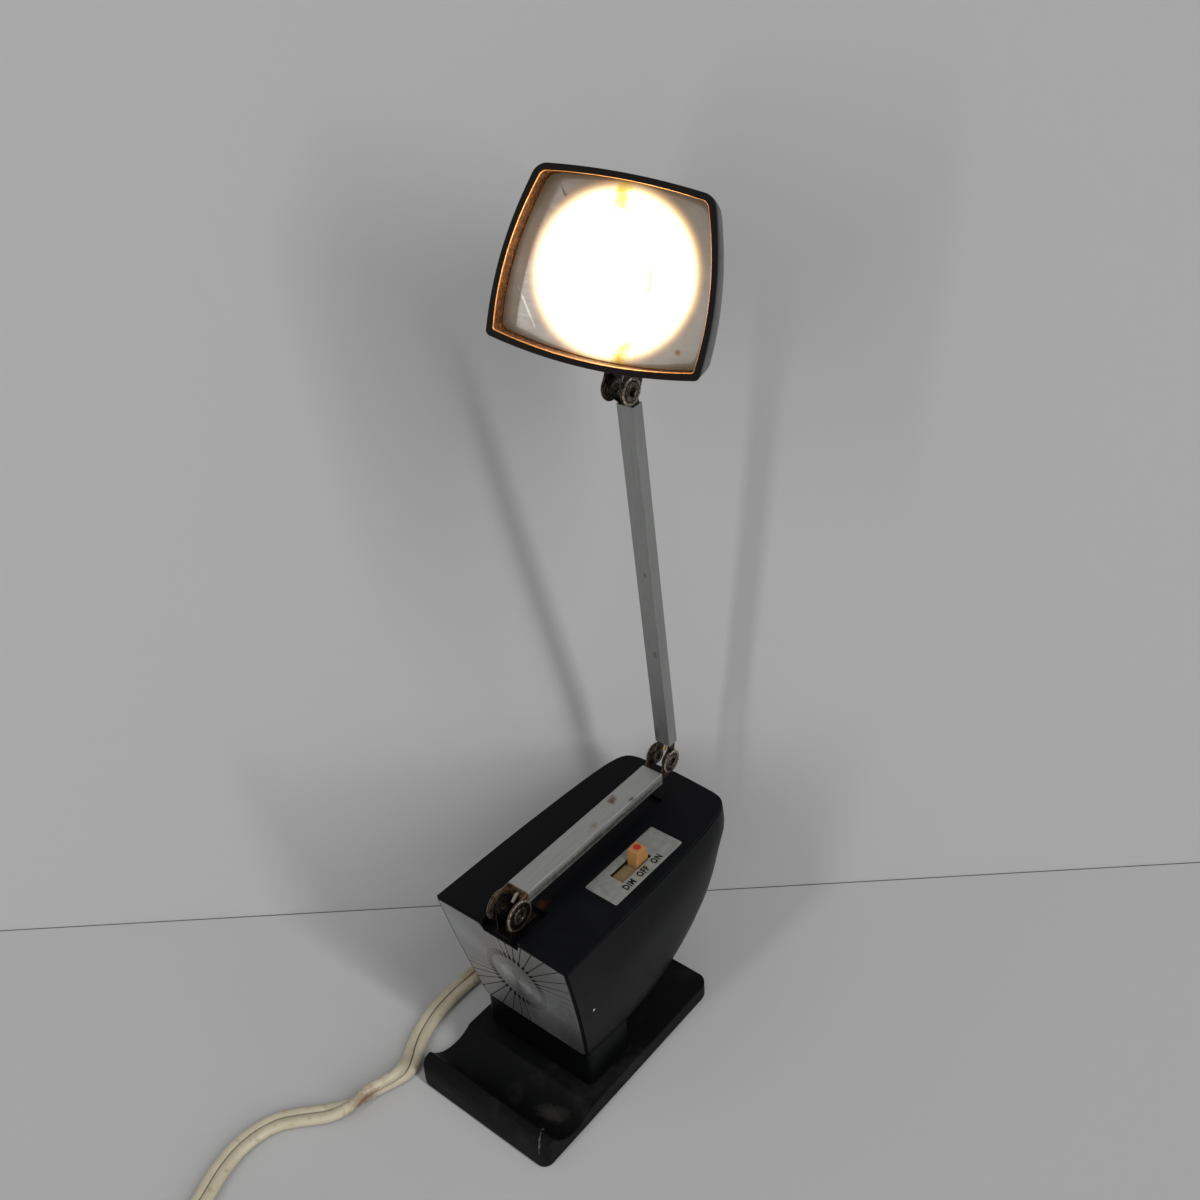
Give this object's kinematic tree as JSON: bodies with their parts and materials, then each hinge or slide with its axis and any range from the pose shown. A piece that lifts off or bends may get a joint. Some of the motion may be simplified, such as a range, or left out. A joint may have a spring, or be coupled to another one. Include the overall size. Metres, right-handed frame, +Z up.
{
  "type": "folding desk lamp",
  "caption": "Small folding desk lamp: weighted base, wedge body with transformer, two hinged arms and a tilting, turning shade, with a dimmer slide switch and a flat flex.",
  "frame": {"origin": "on the table, under the middle of the base", "axes": "+Z up from the table; -Y is the side of the front panel, where the shade faces; +X is the side of the switch"},
  "size_m": [0.1305, 0.2947, 0.2991],
  "materials": {
    "base_plastic": "satin black moulding",
    "body_plastic": "satin black moulding",
    "cover_plastic": "satin black moulding",
    "weight_steel": "plain steel plate",
    "pad_felt": "felt",
    "steel": "zinc plated",
    "panel_aluminium": "brushed, printed",
    "lamination": "varnished laminations",
    "winding": "varnished wire and tape",
    "switch_plastic": "matt",
    "plate_metal": "satin, printed",
    "cream_plastic": "aged cream",
    "red_paint": "paint",
    "lead_wire": "insulated wire",
    "hinge_steel": "browned steel",
    "eyelet_brass": "dull brass",
    "arm_aluminium": "satin extruded",
    "shade_enamel": "gloss black",
    "reflector_aluminium": "brushed",
    "bulb_glass": "clear, lit",
    "base_brass": "plain",
    "flex_pvc": "cream PVC",
    "plug_plastic": "cream"
  },
  "bodies": {
    "body": {"base_shell": "base_plastic", "base_weight": "weight_steel", "base_pad": "pad_felt", "base_screws": "steel", "housing": "body_plastic", "top_cover": "cover_plastic", "cover_screws": "steel", "front_panel": "panel_aluminium", "transformer_core": "lamination", "transformer_winding": "winding", "transformer_strap": "steel", "transformer_screws": "steel", "switch_body": "switch_plastic", "switch_screws": "steel", "switch_plate": "plate_metal", "internal_leads": "lead_wire", "shoulder_bracket": "hinge_steel", "bracket_rivets": "hinge_steel", "strain_relief": "flex_pvc", "cord_free": "flex_pvc", "cord_coil": "flex_pvc", "cord_tie": "switch_plastic", "plug_body": "plug_plastic", "plug_blades": "base_brass"},
    "lower_arm": {"lower_arm": "arm_aluminium", "lower_arm_front_clevis": "hinge_steel", "lower_arm_rear_clevis": "hinge_steel", "shoulder_eyelets": "eyelet_brass", "shoulder_washers": "hinge_steel", "shoulder_discs": "hinge_steel", "shoulder_wire": "lead_wire", "elbow_eyelets": "eyelet_brass", "elbow_washers": "hinge_steel", "elbow_discs": "hinge_steel"},
    "upper_arm": {"upper_arm": "arm_aluminium", "upper_arm_low_clevis": "hinge_steel", "upper_arm_top_clevis": "hinge_steel", "elbow_wire": "lead_wire", "head_wire": "lead_wire"},
    "head_bracket": {"head_bracket": "hinge_steel", "head_eyelets": "eyelet_brass", "head_washers": "hinge_steel", "head_discs": "hinge_steel", "swivel_rivet": "eyelet_brass", "swivel_washer": "hinge_steel"},
    "shade": {"shade": "shade_enamel", "reflector": "reflector_aluminium", "bulb_glass": "bulb_glass", "bulb_base": "base_brass", "bulb_socket": "steel", "socket_stem": "steel", "stem_screw": "steel"},
    "switch_knob": {"switch_knob": "cream_plastic", "knob_dot": "red_paint"}
  },
  "joints": [
    {"name": "shoulder_hinge", "type": "hinge", "parent": "body", "child": "lower_arm", "pos_m": [0, -0.0213, 0.0811], "axis": [1, 0, 0], "range_deg": [0, 55]},
    {"name": "elbow_hinge", "type": "hinge", "parent": "lower_arm", "child": "upper_arm", "pos_m": [0, 0.0602, 0.0883], "axis": [1, 0, 0], "range_deg": [-94.5, 65]},
    {"name": "head_tilt", "type": "hinge", "parent": "upper_arm", "child": "head_bracket", "pos_m": [0, 0.04876, 0.23365], "axis": [1, 0, 0], "range_deg": [-60, 118]},
    {"name": "shade_turn", "type": "hinge", "parent": "head_bracket", "child": "shade", "pos_m": [0, 0.04143, 0.23687], "axis": [0, 0.4019, 0.9157], "range_deg": [-83, 37]},
    {"name": "switch_slide", "type": "slide", "parent": "body", "child": "switch_knob", "axis": [0, 1, 0], "range_m": [-0.0074, 0]}
  ]
}
